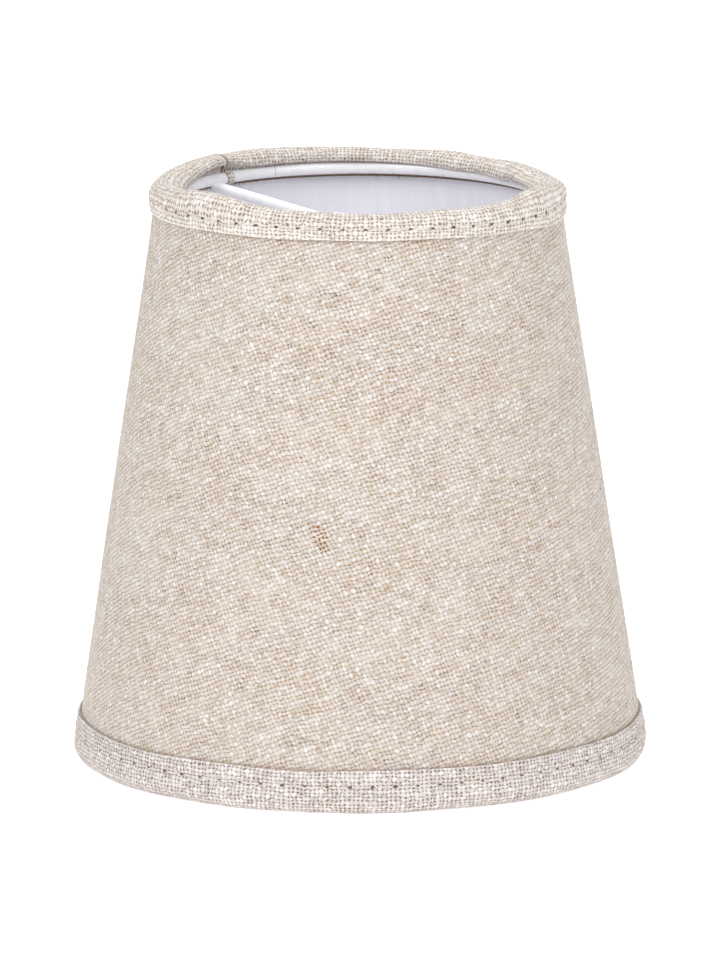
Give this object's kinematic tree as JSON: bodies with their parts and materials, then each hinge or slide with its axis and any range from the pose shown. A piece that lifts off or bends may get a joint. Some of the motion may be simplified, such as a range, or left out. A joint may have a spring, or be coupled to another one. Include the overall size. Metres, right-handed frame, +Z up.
{
  "type": "lamp shade",
  "caption": "Small tapered linen lamp shade with sewn tape trims, wire rings, a crossbar and a tilting spring clip that grips a candle bulb.",
  "frame": {"origin": "centre of the plane that the bottom rim stands on", "axes": "+Z up along the shade's axis, +X along the crossbar, +Y across it"},
  "size_m": [0.12, 0.12, 0.1208],
  "materials": {
    "ring_enamel": "glossy white enamel on steel wire",
    "bar_enamel": "glossy white enamel on steel wire",
    "clip_enamel": "glossy white enamel on spring wire and sheet",
    "liner_sheet": "matt white translucent sheet",
    "linen": "plain-weave natural linen",
    "trim_tape": "plain-weave linen tape, folded and sewn",
    "thread": "spun sewing thread"
  },
  "bodies": {
    "shade": {"top_ring": "ring_enamel", "bottom_ring": "ring_enamel", "crossbar": "bar_enamel", "ring_welds": "bar_enamel", "liner": "liner_sheet", "linen_cover": "linen", "top_trim": "trim_tape", "top_stitching": "thread", "bottom_trim": "trim_tape", "bottom_stitching": "thread", "bottom_bobbin_thread": "thread"},
    "clip": {"clip_saddle": "clip_enamel"},
    "front_jaw": {"jaw_front": "clip_enamel"},
    "back_jaw": {"jaw_back": "clip_enamel"}
  },
  "joints": [
    {"name": "clip_tilt", "type": "hinge", "parent": "shade", "child": "clip", "pos_m": [0, 0, 0.11155], "axis": [1, 0, 0], "range_deg": [-20, 20]},
    {"name": "front_jaw_spread", "type": "hinge", "parent": "clip", "child": "front_jaw", "pos_m": [0, -0.0046, 0.1089], "axis": [-1, 0, 0], "range_deg": [0, 12], "stiffness_Nm_per_rad": 0.65},
    {"name": "back_jaw_spread", "type": "hinge", "parent": "clip", "child": "back_jaw", "pos_m": [0, 0.0046, 0.1089], "axis": [1, 0, 0], "range_deg": [0, 12], "stiffness_Nm_per_rad": 0.65}
  ]
}
